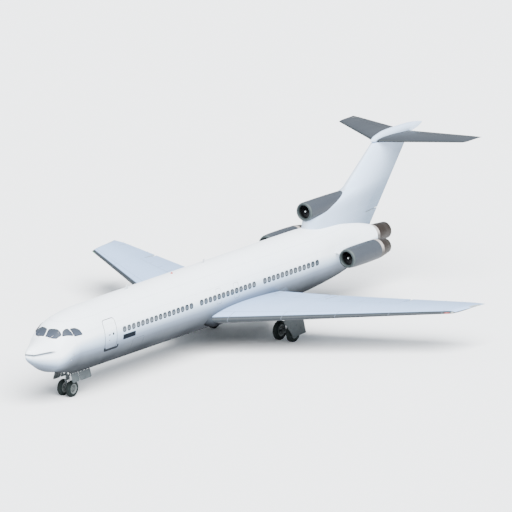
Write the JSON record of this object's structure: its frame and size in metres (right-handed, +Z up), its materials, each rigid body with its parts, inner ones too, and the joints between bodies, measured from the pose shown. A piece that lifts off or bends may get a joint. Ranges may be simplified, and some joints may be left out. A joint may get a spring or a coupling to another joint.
{
  "type": "narrow body airliner, 1:2 scale model",
  "caption": "Half-size narrow body airliner with three tail engines, a T-tail, a low swept wing and twin-wheel landing gear, parked on its gear.",
  "frame": {"origin": "on the floor, midway between the nose and the tail's rear tip, in the plane of symmetry", "axes": "+X to the port (left) wing tip, +Y aft from nose to tail, +Z up"},
  "size_m": [15.24, 22.85, 5.42],
  "materials": {
    "white_paint": "gloss",
    "wing_paint": "satin",
    "tail_grey_paint": "satin",
    "nacelle_grey_paint": "satin",
    "hot_section_metal": "heat stained",
    "dark_metal": "dark",
    "tinted_glass": "tinted",
    "gear_grey_paint": "satin",
    "tyre_rubber": "matt",
    "rim_metal": "satin"
  },
  "bodies": {
    "airframe": {"center_intake": "nacelle_grey_paint", "cockpit_windows": "tinted_glass", "engine_center": "dark_metal", "engine_left": "dark_metal", "engine_right": "dark_metal", "fin": "white_paint", "fuselage_aft": "white_paint", "fuselage_center": "white_paint", "fuselage_forward": "white_paint", "main_gear_door_left": "gear_grey_paint", "main_gear_door_right": "gear_grey_paint", "main_gear_leg_left": "gear_grey_paint", "main_gear_leg_right": "gear_grey_paint", "nacelle_left": "nacelle_grey_paint", "nacelle_right": "nacelle_grey_paint", "nose_gear_front_door_left": "gear_grey_paint", "nose_gear_front_door_right": "gear_grey_paint", "nose_gear_leg": "gear_grey_paint", "nose_radome": "white_paint", "nozzle_center": "hot_section_metal", "nozzle_left": "hot_section_metal", "nozzle_right": "hot_section_metal", "passenger_door": "white_paint", "pylon_left": "white_paint", "pylon_right": "white_paint", "service_door": "white_paint", "tailplane": "tail_grey_paint", "tailplane_fairing": "white_paint", "wing_left": "wing_paint", "wing_right": "wing_paint"},
    "nose_gear_foot": {"nose_gear_steering": "gear_grey_paint"},
    "nose_wheels": {"nose_wheel_hubs": "rim_metal", "nose_tyre_left": "tyre_rubber", "nose_tyre_right": "tyre_rubber"},
    "main_wheels_left": {"main_wheel_hubs_left": "rim_metal", "main_tyre_left_port": "tyre_rubber", "main_tyre_left_starboard": "tyre_rubber"},
    "main_wheels_right": {"main_wheel_hubs_right": "rim_metal", "main_tyre_right_port": "tyre_rubber", "main_tyre_right_starboard": "tyre_rubber"},
    "fan_left": {"fan_left": "hot_section_metal"},
    "fan_right": {"fan_right": "hot_section_metal"},
    "fan_center": {"fan_center": "hot_section_metal"},
    "rudder": {"rudder": "white_paint"},
    "elevator_left": {"elevator_left": "tail_grey_paint"},
    "aileron_left": {"aileron_left": "wing_paint"},
    "flap_inboard_left": {"flap_inboard_left": "wing_paint"},
    "flap_outboard_left": {"flap_outboard_left": "wing_paint"},
    "nose_gear_door_left": {"nose_gear_rear_door_left": "gear_grey_paint"},
    "elevator_right": {"elevator_right": "tail_grey_paint"},
    "aileron_right": {"aileron_right": "wing_paint"},
    "flap_inboard_right": {"flap_inboard_right": "wing_paint"},
    "flap_outboard_right": {"flap_outboard_right": "wing_paint"},
    "nose_gear_door_right": {"nose_gear_rear_door_right": "gear_grey_paint"},
    "airstair": {"ventral_airstair": "white_paint"}
  },
  "joints": [
    {"name": "nose_steering", "type": "hinge", "parent": "airframe", "child": "nose_gear_foot", "pos_m": [0, -9.06, 0.6], "axis": [0, 0, 1], "range_deg": [-78, 78]},
    {"name": "nose_wheels_spin", "type": "hinge", "parent": "nose_gear_foot", "child": "nose_wheels", "pos_m": [0, -9.06, 0.275], "axis": [1, 0, 0], "continuous": true},
    {"name": "main_wheels_left_spin", "type": "hinge", "parent": "airframe", "child": "main_wheels_left", "pos_m": [1.62, 1.205, 0.3225], "axis": [1, 0, 0], "continuous": true},
    {"name": "main_wheels_right_spin", "type": "hinge", "parent": "airframe", "child": "main_wheels_right", "pos_m": [-1.62, 1.205, 0.3225], "axis": [1, 0, 0], "continuous": true},
    {"name": "fan_left_spin", "type": "hinge", "parent": "airframe", "child": "fan_left", "pos_m": [1.65, 5.075, 2.11], "axis": [0, 1, 0], "continuous": true},
    {"name": "fan_right_spin", "type": "hinge", "parent": "airframe", "child": "fan_right", "pos_m": [-1.65, 5.075, 2.11], "axis": [0, 1, 0], "continuous": true},
    {"name": "fan_center_spin", "type": "hinge", "parent": "airframe", "child": "fan_center", "pos_m": [0, 5.075, 3.52], "axis": [0, 1, 0], "continuous": true},
    {"name": "rudder_turn", "type": "hinge", "parent": "airframe", "child": "rudder", "pos_m": [0, 8.01416, 2.875], "axis": [0, 0.6924, 0.7215], "range_deg": [-25, 25]},
    {"name": "elevator_left_turn", "type": "hinge", "parent": "airframe", "child": "elevator_left", "pos_m": [0.275, 10.02825, 5.16], "axis": [0.9379, 0.347, 0], "range_deg": [-15, 25]},
    {"name": "aileron_left_turn", "type": "hinge", "parent": "airframe", "child": "aileron_left", "pos_m": [5.375, 2.84989, 1.48686], "axis": [0.8975, 0.4409, 0.011], "range_deg": [-20, 20]},
    {"name": "flap_inboard_left_turn", "type": "hinge", "parent": "airframe", "child": "flap_inboard_left", "pos_m": [1.08, 1.33342, 1.43655], "axis": [-0.9503, -0.3108, -0.02], "range_deg": [0, 40]},
    {"name": "flap_outboard_left_turn", "type": "hinge", "parent": "airframe", "child": "flap_outboard_left", "pos_m": [2.975, 1.61223, 1.45399], "axis": [-0.8954, -0.4452, -0.0116], "range_deg": [0, 40]},
    {"name": "nose_gear_door_left_turn", "type": "hinge", "parent": "airframe", "child": "nose_gear_door_left", "pos_m": [0.3225, -8.91, 0.845], "axis": [0, 1, 0], "range_deg": [0, 94]},
    {"name": "elevator_right_turn", "type": "hinge", "parent": "airframe", "child": "elevator_right", "pos_m": [-0.275, 10.02825, 5.16], "axis": [0.9379, -0.347, 0], "range_deg": [-15, 25]},
    {"name": "aileron_right_turn", "type": "hinge", "parent": "airframe", "child": "aileron_right", "pos_m": [-5.375, 2.84989, 1.48686], "axis": [0.8975, -0.4409, -0.011], "range_deg": [-20, 20]},
    {"name": "flap_inboard_right_turn", "type": "hinge", "parent": "airframe", "child": "flap_inboard_right", "pos_m": [-1.08, 1.33342, 1.43655], "axis": [-0.9503, 0.3108, 0.02], "range_deg": [0, 40]},
    {"name": "flap_outboard_right_turn", "type": "hinge", "parent": "airframe", "child": "flap_outboard_right", "pos_m": [-2.975, 1.61223, 1.45399], "axis": [-0.8954, 0.4452, 0.0116], "range_deg": [0, 40]},
    {"name": "nose_gear_door_right_turn", "type": "hinge", "parent": "airframe", "child": "nose_gear_door_right", "pos_m": [-0.3225, -8.91, 0.845], "axis": [0, -1, 0], "range_deg": [0, 94]},
    {"name": "airstair_turn", "type": "hinge", "parent": "airframe", "child": "airstair", "pos_m": [0, 5.62, 1.04061], "axis": [-1, 0, 0], "range_deg": [0, 37]}
  ],
  "couplings": [
    {"joint": "elevator_right_turn", "follows": "elevator_left_turn", "ratio": 1},
    {"joint": "aileron_right_turn", "follows": "aileron_left_turn", "ratio": -1},
    {"joint": "flap_outboard_left_turn", "follows": "flap_inboard_left_turn", "ratio": 1},
    {"joint": "flap_inboard_right_turn", "follows": "flap_inboard_left_turn", "ratio": 1},
    {"joint": "flap_outboard_right_turn", "follows": "flap_inboard_left_turn", "ratio": 1}
  ]
}
